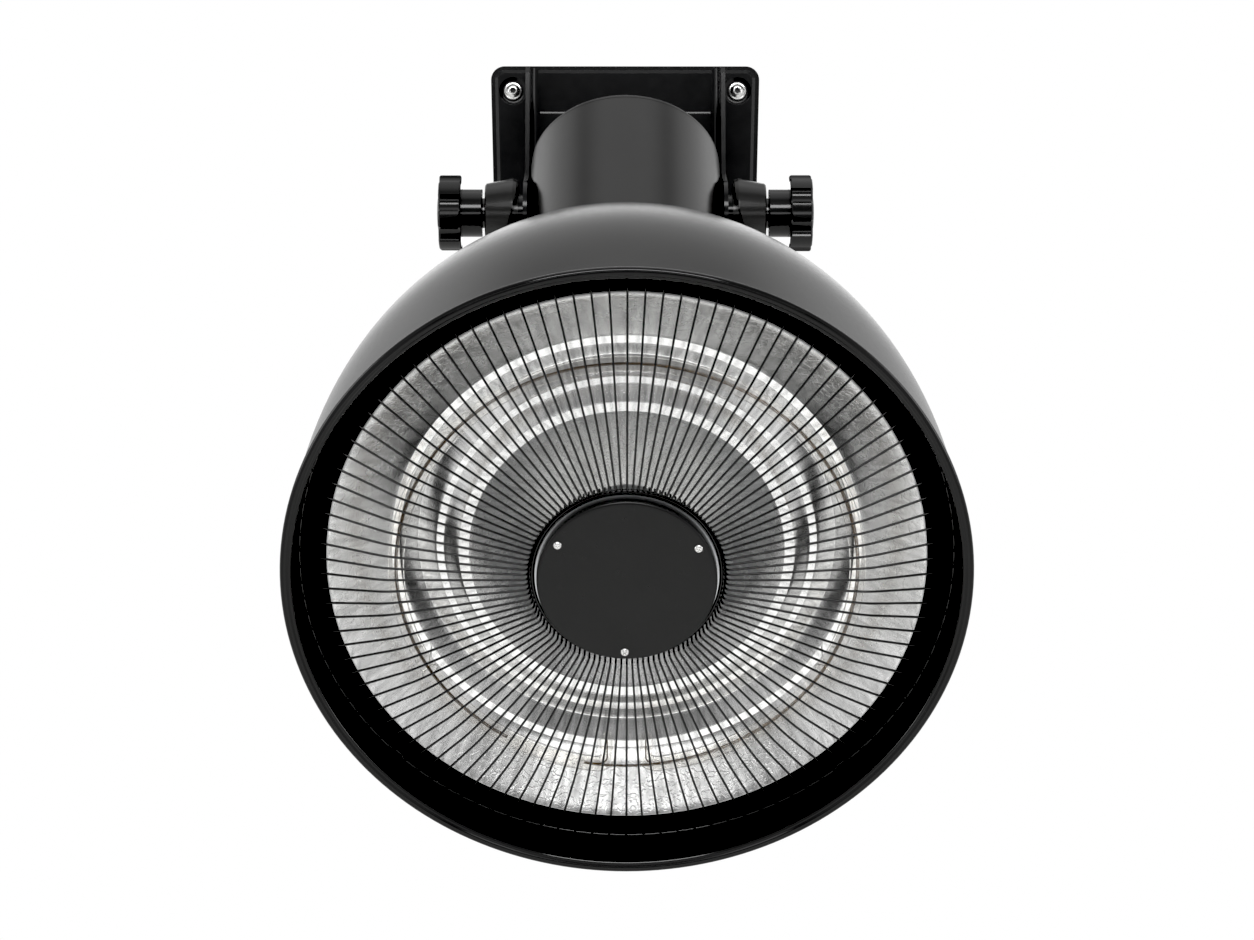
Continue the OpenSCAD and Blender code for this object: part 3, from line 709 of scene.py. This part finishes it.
# %% The two rings and the clips
HUB_RING_S = 15.0
WELD_HALF, WELD_SWELL = 0.0035, 0.00005
for name, node, radius, depth in (("grille_rim_ring", "grille_outer_ring", OUTER_RING_R, OUTER_RING_S),
                                  ("grille_hub_hoop", "grille_hub_ring", HUB_RING_R, HUB_RING_S)):
    hoop = turned(name, arc((radius, depth), RING_D / 2, 0, 330, 11), steps=160)
    pick_vertices(hoop, lambda co: co.y < 0 and abs(co.x) < WELD_HALF)
    bpy.ops.transform.translate(value=(0, -WELD_SWELL, 0))
    bpy.ops.object.mode_set(mode="OBJECT")
    finish_piece(hoop, "head", wire_black, node, place=SHADE, smooth=60)
clips = softened("grille_clips", 0.4)
finish_piece(clips, "head", wire_black, "grille_clips")

# %% [markdown]
# A shallow pressed disc covers the hub. Its edge turns back over a small radius, and three
# pan-head screws hold it to a plate behind. The disc bulges by a fraction of a millimetre, as
# pressed sheet does, so it isn't a mirror-flat face.

# %% The hub cover and its screws
HUB_R, HUB_FRONT, HUB_SKIRT, HUB_T, HUB_BULGE, HUB_EDGE_R = 55.7, 5.8, 13.0, 1.4, 0.25, 2.4
hub_line = [(HUB_R * k / 14, HUB_FRONT + HUB_BULGE * (k / 14) ** 2) for k in range(13)]
hub_line += rounded([(HUB_R * 13 / 14, HUB_FRONT + 0.22), (HUB_R, HUB_FRONT + 0.3), (HUB_R, HUB_SKIRT)],
                    [HUB_EDGE_R], 6)
hub = turned("hub_cover", sheet(hub_line, HUB_T), closed=False, steps=128)
finish_piece(hub, "head", hub_black, "hub_cap", place=SHADE, smooth=40)


def pan_screw(name, radius, height, at, turn):
    """A pan head with a cross recess, lying on the face at local depth 0 and facing away from +Z."""
    line = rounded([(0, -height), (radius * 0.72, -height), (radius, -height * 0.35), (radius, 0.6)],
                   [radius * 0.5, radius * 0.3], 4)
    head = turned(name, line + [(0, 0.6)], closed=False, steps=40)
    for angle in (0, 90):
        select_only()
        bpy.ops.mesh.primitive_cube_add(size=1, location=(0, 0, -height * MM))
        blade = bpy.context.object
        blade.scale = (radius * 1.05 * MM, radius * 0.24 * MM, height * 1.1 * MM)
        blade.rotation_euler = (0, 0, math.radians(angle + turn))
        bpy.ops.object.transform_apply(scale=True, rotation=True, location=True)
        modify(head, "BOOLEAN", object=blade, operation="DIFFERENCE", solver="EXACT")
        bpy.data.objects.remove(blade)
    lay(head, Matrix.Translation(Vector(at) * MM))
    return head


HUB_SCREW_AT, HUB_SCREW_FIRST = 49.8, -28.5
HUB_SCREW_R, HUB_SCREW_HEIGHT = 2.8, 1.7
hub_screws = []
for k in range(3):
    angle = math.radians(HUB_SCREW_FIRST + 120 * k)
    at = (HUB_SCREW_AT * math.cos(angle), HUB_SCREW_AT * math.sin(angle), HUB_FRONT + 0.1)
    hub_screws.append(pan_screw(f"hub_screw_{k}", HUB_SCREW_R, HUB_SCREW_HEIGHT, at, 20 + 31 * k))
screws = joined(*hub_screws)
screws.name = "hub_cover_screws"
finish_piece(screws, "head", steel, "hub_screws", place=SHADE, smooth=30)

# %% [markdown]
# The star knobs are moulded in one piece: a short collar, a lobed disc and a low boss. The lobes
# are drawn as one closed outline, a circle with seven scallops taken out of it, which is filled
# and extruded. A bevel on the two flat faces leaves the generous radius of a mould, while the
# corners between lobe and scallop stay crisp, as the thin bright lines in the photograph show.

# %% Bars and cutters
def round_bar(radius, low, high, sides, at=(0, 0), tip=None):
    """A cylinder or cone in mm along local Z, as a start or a cutter."""
    select_only()
    middle = (at[0] * MM, at[1] * MM, (low + high) / 2 * MM)
    if tip is None:
        bpy.ops.mesh.primitive_cylinder_add(radius=radius * MM, depth=(high - low) * MM,
                                            vertices=sides, location=middle)
    else:
        bpy.ops.mesh.primitive_cone_add(radius1=radius * MM, radius2=tip * MM, vertices=sides,
                                        depth=(high - low) * MM, location=middle)
    bpy.ops.object.transform_apply(location=True)
    return bpy.context.object


def combine(piece, other, how):
    """Joins or cuts one piece with another, which is then removed."""
    modify(piece, "BOOLEAN", object=other, operation=how, solver="EXACT")
    bpy.data.objects.remove(other)


# %% The star knobs
KNOB_R, LOBES, COLLAR_R = 27.5, 7, 17.3
COLLAR_X, STAR_X, STAR_T = 103.7, 118.6, 16.2
SCALLOP_R, SCALLOP_AT = 8.8, 33.0
MOULD_R, BORE_R, BOSS_R, BOSS_TOP_R, BOSS_HEIGHT = 1.8, 4.2, 15, 11, 1.3


def star_outline(turn):
    """Points round the lobed disc in mm, its scallops centred on the turn and its repeats."""
    reach = math.acos((SCALLOP_AT ** 2 + SCALLOP_R ** 2 - KNOB_R ** 2) / (2 * SCALLOP_AT * SCALLOP_R))
    edge = math.asin(SCALLOP_R * math.sin(reach) / KNOB_R)
    points = []
    for k in range(LOBES):
        middle = math.radians(turn) + math.tau * k / LOBES
        hollow = Vector((SCALLOP_AT * math.cos(middle), SCALLOP_AT * math.sin(middle)))
        for j in range(13):
            a = middle + math.pi + reach - 2 * reach * j / 12
            points.append((hollow.x + SCALLOP_R * math.cos(a), hollow.y + SCALLOP_R * math.sin(a), 0))
        arc_from, arc_to = middle + edge, middle + math.tau / LOBES - edge
        for j in range(1, 12):
            a = arc_from + (arc_to - arc_from) * j / 12
            points.append((KNOB_R * math.cos(a), KNOB_R * math.sin(a), 0))
    return points


def star_knob(name, turn, body, node, place):
    """One knob, its scallops turned about the pivot axis."""
    points = star_outline(turn)
    star = traced(name, points + points[:1])
    clean(star)
    edit_all(star)
    bpy.ops.mesh.edge_face_add()
    bpy.ops.mesh.extrude_region_move(TRANSFORM_OT_translate={"value": (0, 0, STAR_T * MM)})
    clean(star)
    modify(star, "BEVEL", width=MOULD_R * MM, segments=4, limit_method="ANGLE",
           angle_limit=math.radians(60))
    lay(star, Matrix.Translation((0, 0, STAR_X * MM)))
    face = STAR_X + STAR_T
    collar_line = rounded([(BORE_R, COLLAR_X), (COLLAR_R, COLLAR_X), (COLLAR_R, STAR_X + 1),
                           (BORE_R, STAR_X + 1)], [0.8, 0.3], 4)
    collar = turned(name + "_collar", collar_line, steps=96)
    boss_line = rounded([(0, face + BOSS_HEIGHT), (BOSS_TOP_R, face + 1.25), (BOSS_R, face),
                         (BOSS_R, face - 0.5)], [3, 0.4], 4)
    boss = turned(name + "_boss", boss_line + [(0, face - 0.5)], closed=False, steps=64)
    finish_piece(joined(star, collar, boss), body, knob_black, node, place=place, smooth=38, flat=True)


star_knob("star_knob_left", 22, "left_knob", "knob_left", LEFT_PIVOT)
star_knob("star_knob_right", -8, "right_knob", "knob_right", RIGHT_PIVOT)

# %% [markdown]
# The wall plate is pressed from thick sheet: a rim lies flat on the wall and a raised pan stands
# a little proud of it, with a round dimple for each screw. It starts as a plane, narrowed at the
# foot, with its corners rounded by a vertex bevel, and is then extruded and inset step by step.

# %% The pressed wall plate
PLATE_W, PLATE_LOW, PLATE_H, PLATE_T, PAN_T = 204.0, 194.0, 200.0, 3.0, 1.5
PLATE_CORNER_R, PLATE_RIM, PAN_SLOPE, PLATE_EDGE_R = 10.6, 3.0, 2.4, 0.8
DIMPLE_R, DIMPLE_TOP_R, DIMPLE_DEPTH, SCREW_HOLE_R = 8.0, 10.5, 1.2, 3.3
PAN_FACE = PLATE_T + PAN_T
SCREW_X, SCREW_Z = 85.0, 81.0
screw_spots = [(x * SCREW_X, z * SCREW_Z) for x in (-1, 1) for z in (-1, 1)]
select_only()
bpy.ops.mesh.primitive_plane_add(size=1)
plate = bpy.context.object
plate.name = plate.data.name = "pressed_wall_plate"
plate.scale = (PLATE_W * MM, PLATE_H * MM, 1)
bpy.ops.object.transform_apply(scale=True)
pick_vertices(plate, lambda co: co.y < 0)
bpy.ops.transform.resize(value=(PLATE_LOW / PLATE_W, 1, 1))
bpy.ops.mesh.select_all(action="SELECT")
bpy.ops.mesh.bevel(offset=PLATE_CORNER_R * MM, segments=10, affect="VERTICES")
bpy.ops.mesh.select_all(action="SELECT")
bpy.ops.mesh.extrude_region_move(TRANSFORM_OT_translate={"value": (0, 0, PLATE_T * MM)})
clean(plate)
pick_faces(plate, lambda middle, normal: normal.z > 0.9)
bpy.ops.mesh.inset(thickness=PLATE_RIM * MM, depth=0)
bpy.ops.mesh.inset(thickness=PAN_SLOPE * MM, depth=PAN_T * MM)
bpy.ops.object.mode_set(mode="OBJECT")
for spot in screw_spots:
    dimple = round_bar(DIMPLE_R, PAN_FACE - DIMPLE_DEPTH, PAN_FACE + 0.01, 64, spot, tip=DIMPLE_TOP_R)
    combine(plate, dimple, "DIFFERENCE")
    combine(plate, round_bar(SCREW_HOLE_R, -1, PAN_FACE + 1, 48, spot), "DIFFERENCE")
modify(plate, "BEVEL", width=PLATE_EDGE_R * MM, segments=3, limit_method="ANGLE",
       angle_limit=math.radians(24))
finish_piece(plate, "bracket", bracket_black, "wall_plate", place=WALL, smooth=30, flat=True)

# %% [markdown]
# The channel and its side walls are folded from the same sheet, and the knuckles are cast. Their
# solids are right, so they only get softer edges under a coat of enamel. The top edge of the
# channel's web is cut to lean back a little, and so catches a line of light, as in the photograph.

# %% Folded and cast parts of the bracket and the neck
WEB_FRONT, LEDGE_FROM, LEDGE_LEAN, LEDGE_HALF, LEDGE_DEEP, LEDGE_HIGH = 7.5, 62.6, 9.0, 64.4, 4, 6


def lean_ledge(channel):
    """Cuts the front of the web's top edge away with a leaning block."""
    select_only()
    bpy.ops.mesh.primitive_cube_add(size=1)
    wedge = bpy.context.object
    wedge.scale = (2 * LEDGE_HALF * MM, LEDGE_DEEP * MM, LEDGE_HIGH * MM)
    bpy.ops.object.transform_apply(scale=True)
    foot = Matrix.Translation((0, -WEB_FRONT * MM, LEDGE_FROM * MM))
    lean = Matrix.Rotation(math.radians(-LEDGE_LEAN), 4, "X")
    lay(wedge, foot @ lean @ Matrix.Translation((0, -LEDGE_DEEP / 2 * MM, LEDGE_HIGH / 2 * MM)))
    combine(channel, wedge, "DIFFERENCE")


# The pivot pads take the matt black, and its darkness is painted shade in the gap beside the neck.
for node, width, finish, body in (("bracket_channel", 1.2, bracket_black, "bracket"),
                                  ("bracket_knuckles", 1.4, satin_black, "bracket"),
                                  ("pivot_pads", 0.6, black_with_painted_shade, "head"),
                                  ("cable_gland", 0.5, gland_black, "head"),
                                  ("cap_screws", 0.25, steel, "head"),
                                  ("washer_left", 0.25, dark_steel, "left_washer"),
                                  ("washer_right", 0.25, dark_steel, "right_washer")):
    piece = softened(node, width)
    if node == "bracket_channel":
        lean_ledge(piece)
    finish_piece(piece, body, finish, node, smooth=40, flat=True)

# %% [markdown]
# Four flanged button-head screws hold the plate. Their heads are turned from one outline, and a
# hexagon is cut for the key. The faces inside each socket take a dark steel, a painted shade that
# keeps the sockets dark from the front. Behind the plate their threads would run into the wall: a
# zigzag of one pitch, swept along the screw, makes the thread.

# %% The wall screws
THREAD_OUT, THREAD_IN, CORE_R, PITCH, THREAD_TURNS, SCREW_END = 3.0, 2.45, 2.5, 1.0, 30, -31.9
HEXAGON_R, FLANGE_R, SHANK_R = 2.31, 6.6, 3.2


def wall_screw(name, spot, turn):
    """One screw with its head towards local +Z, at a spot on the plate."""
    face = PAN_FACE
    line = rounded([(0, face + 2.7), (3.2, face + 2.7), (5.25, face + 0.15), (FLANGE_R, face - 0.05),
                    (FLANGE_R, face - 1.2)], [1.2, 0.4, 0.3], 4)
    line += [(SHANK_R, face - 1.2), (SHANK_R, -0.4), (0, -0.4)]
    head = turned(name, line, closed=False, steps=48)
    hexagon = round_bar(HEXAGON_R, face - 0.6, face + 3.4, 6)
    hexagon.rotation_euler = (0, 0, math.radians(turn))
    select_only(hexagon)
    bpy.ops.object.transform_apply(rotation=True)
    combine(head, hexagon, "DIFFERENCE")
    thread = traced(name + "_thread", [(THREAD_IN, 0, -0.4), (THREAD_OUT, 0, -0.8), (THREAD_IN, 0, -1.4)])
    modify(thread, "SCREW", screw_offset=-PITCH * MM, iterations=THREAD_TURNS, steps=14,
           render_steps=14, use_merge_vertices=True)
    clean(thread)
    core = round_bar(CORE_R, SCREW_END, -0.3, 24)
    screw = joined(head, thread, core)
    lay(screw, Matrix.Translation((spot[0] * MM, spot[1] * MM, 0)))
    return screw


wall_screws = joined(*[wall_screw(f"wall_screw_{k}", spot, 11 + 17 * k)
                       for k, spot in enumerate(screw_spots)])
wall_screws.name = "flanged_wall_screws"
steel_and_socket_shade = [steel, dark_steel]
for finish in steel_and_socket_shade:
    wall_screws.data.materials.append(finish)
# Faces inside each hex socket take the dark steel: painted shade in the recess.
SOCKET_R, SOCKET_TOP = 2.35, PAN_FACE + 2.5
for face in wall_screws.data.polygons:
    middle = face.center / MM
    reach = min(math.hypot(middle.x - x, middle.y - z) for x, z in screw_spots)
    face.material_index = int(reach < SOCKET_R and 0 < middle.z < SOCKET_TOP)
finish_piece(wall_screws, "bracket", steel_and_socket_shade, "wall_screws", place=WALL)

# %% [markdown]
# The hidden parts keep their CAD shapes. They are seen only through the grille or at an odd
# angle, but a plain grey there would still look unfinished, so each gets the finish it would have.

# %% Finishes for the CAD parts that stay
# The reflector's frame takes the matt black: partly its own black paint, partly painted shade.
for finish, *nodes in ((zinc, "cap_tabs", "frame_brackets", "heat_shield", "shield_spacers", "hub_plate"),
                       (black_with_painted_shade, "reflector_frame"),
                       (brass, "pivot_inserts"),
                       (steel, "stud_left", "stud_right", "lamp_clips"),
                       (gland_black, "gland_nut"),
                       (ceramic, "lamp_caps"),
                       (ivory, "terminal_block")):
    for node in nodes:
        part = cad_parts[node]
        if not part.material_slots:
            part.data.materials.append(finish)
        for slot in part.material_slots:
            slot.material = finish
    print(finish.name, "on", ", ".join(nodes))

# %% [markdown]
# The heater was photographed on white. Here a pale floor lies about two metres under its bracket.

# %% Floor
FLOOR_SIZE, FLOOR_BACK, FLOOR_BELOW = 7, 1.6, 2.1
select_only()
bpy.ops.mesh.primitive_plane_add(size=FLOOR_SIZE, location=(0, FLOOR_BACK, -FLOOR_BELOW))
floor = bpy.context.object
floor.name = "studio_floor"
floor_paint = coat("pale_floor", (0.88, 0.88, 0.87), 0.6, 3.0, 0.01, shift=0.03)
floor.data.materials.append(floor_paint)
print("floor", FLOOR_BELOW, "m below the wall screws")

# %% [markdown]
# Soft light comes from all round. More of it comes from below and near the horizon, from above,
# from behind and from both back corners, and less from the front, because glossy black shows its
# form by what it mirrors. The camera itself sees plain white in place of all this.

# %% Surrounding light
world = bpy.data.worlds.new("white_studio")
bpy.context.scene.world = world
world.use_nodes = True
tree = world.node_tree
tree.nodes.clear()


def world_node(kind, **values):
    """Adds a node to the world and sets its attributes."""
    node = tree.nodes.new(kind)
    for key, value in values.items():
        setattr(node, key, value)
    return node


way = world_node("ShaderNodeTexCoord")


def lobe(towards, starts, full, amount):
    """Light added in one direction: nothing beyond one angle in degrees, all of it within another."""
    facing = world_node("ShaderNodeVectorMath", operation="DOT_PRODUCT")
    facing.inputs[1].default_value = Vector(towards).normalized()
    tree.links.new(way.outputs["Generated"], facing.inputs[0])
    soft = world_node("ShaderNodeMapRange", interpolation_type="SMOOTHSTEP")
    edges = (math.cos(math.radians(starts)), math.cos(math.radians(full)), 0, amount)
    for socket, value in zip(("From Min", "From Max", "To Min", "To Max"), edges):
        soft.inputs[socket].default_value = value
    tree.links.new(facing.outputs["Value"], soft.inputs["Value"])
    return soft.outputs["Result"]


def horizon(low, top, amount):
    """Light added in full below a low height, fading evenly to nothing at the top height."""
    height = world_node("ShaderNodeSeparateXYZ")
    tree.links.new(way.outputs["Generated"], height.inputs[0])
    fade = world_node("ShaderNodeMapRange")
    for socket, value in zip(("From Min", "From Max", "To Min", "To Max"), (low, top, amount, 0)):
        fade.inputs[socket].default_value = value
    tree.links.new(height.outputs["Z"], fade.inputs["Value"])
    return fade.outputs["Result"]


ALL_ROUND, DARKEST = 0.45, 0.3
ABOVE, BEHIND, IN_FRONT = (0, 0.09, 1), (0, 1, 0.3), (0, -1, 0)
BACK_LEFT, BACK_RIGHT = (-0.68, 0.5, 0.52), (0.68, 0.5, 0.52)
light = None
for part in (horizon(0.15, 0.85, 0.42), lobe(ABOVE, 36, 12, 0.7), lobe(BEHIND, 18, 5, 1.0),
             lobe(BACK_LEFT, 30, 10, 0.45), lobe(BACK_RIGHT, 30, 10, 0.45),
             lobe(IN_FRONT, 42, 20, -1.0)):
    added = world_node("ShaderNodeMath", operation="ADD")
    added.inputs[0].default_value = ALL_ROUND
    if light is not None:
        tree.links.new(light, added.inputs[0])
    tree.links.new(part, added.inputs[1])
    light = added.outputs["Value"]
floor_of_light = world_node("ShaderNodeMath", operation="MAXIMUM")
floor_of_light.inputs[1].default_value = DARKEST
tree.links.new(light, floor_of_light.inputs[0])
light = floor_of_light.outputs["Value"]
lit = world_node("ShaderNodeBackground")
tree.links.new(light, lit.inputs["Strength"])
lit.inputs["Color"].default_value = (1, 1, 1, 1)
seen = world_node("ShaderNodeBackground")
seen.inputs["Strength"].default_value = 1.0
seen.inputs["Color"].default_value = (1, 1, 1, 1)
ray = world_node("ShaderNodeLightPath")
mix = world_node("ShaderNodeMixShader")
tree.links.new(ray.outputs["Is Camera Ray"], mix.inputs["Fac"])
tree.links.new(lit.outputs["Background"], mix.inputs[1])
tree.links.new(seen.outputs["Background"], mix.inputs[2])
out = world_node("ShaderNodeOutputWorld")
tree.links.new(mix.outputs["Shader"], out.inputs["Surface"])
print("surrounding light from", DARKEST, "up")

# %% [markdown]
# Five softboxes draw the highlights. A wide one above the camera puts the bright bands on knobs,
# collars and the rolled rim. A strip behind the camera is mirrored by the reflector's outer slope
# at its foot, and a weak box just above the floor by the hub and the flat rings. A tall one at
# each side lights the upright edges. An area light doesn't hide what is behind it: its light is
# added.

# %% Softboxes
AIMED_AT = Vector((0, -0.3, -0.2))


def softbox(name, place, width, height, radiance):
    """A rectangular area light turned to the heater. Its power follows from how bright it looks."""
    aim = AIMED_AT - Vector(place)
    bpy.ops.object.light_add(type="AREA", location=place, rotation=aim.to_track_quat("-Z", "Y").to_euler())
    lamp = bpy.context.object
    lamp.name = lamp.data.name = name
    lamp.data.shape = "RECTANGLE"
    lamp.data.size, lamp.data.size_y = width, height
    lamp.data.energy = radiance * math.pi * width * height
    print(f"{name}: {width} by {height} m, {lamp.data.energy:.1f} W")


softbox("softbox_above", (0, -2.92, 1.345), 2.2, 0.74, 10)
softbox("softbox_strip", (0, -3.0, -0.38), 3.0, 0.36, 2.2)
softbox("softbox_low", (0, -1.33, -1.8), 1.1, 0.84, 0.2)
softbox("softbox_left", (-2.6, -0.6, 0.2), 0.8, 1.6, 3)
softbox("softbox_right", (2.6, -0.6, 0.2), 0.8, 1.6, 3)

# %% [markdown]
# The picture is shown with the plain Standard curve. A small black level turns its darkest tones
# to full black.

# %% How the picture is developed
view = bpy.context.scene.view_settings
view.view_transform = "Standard"
view.look = "None"
BLACK_POINT = 0.015
view.use_curve_mapping = True
view.curve_mapping.black_level = (BLACK_POINT,) * 3
view.curve_mapping.update()
print("blacks start at", BLACK_POINT)
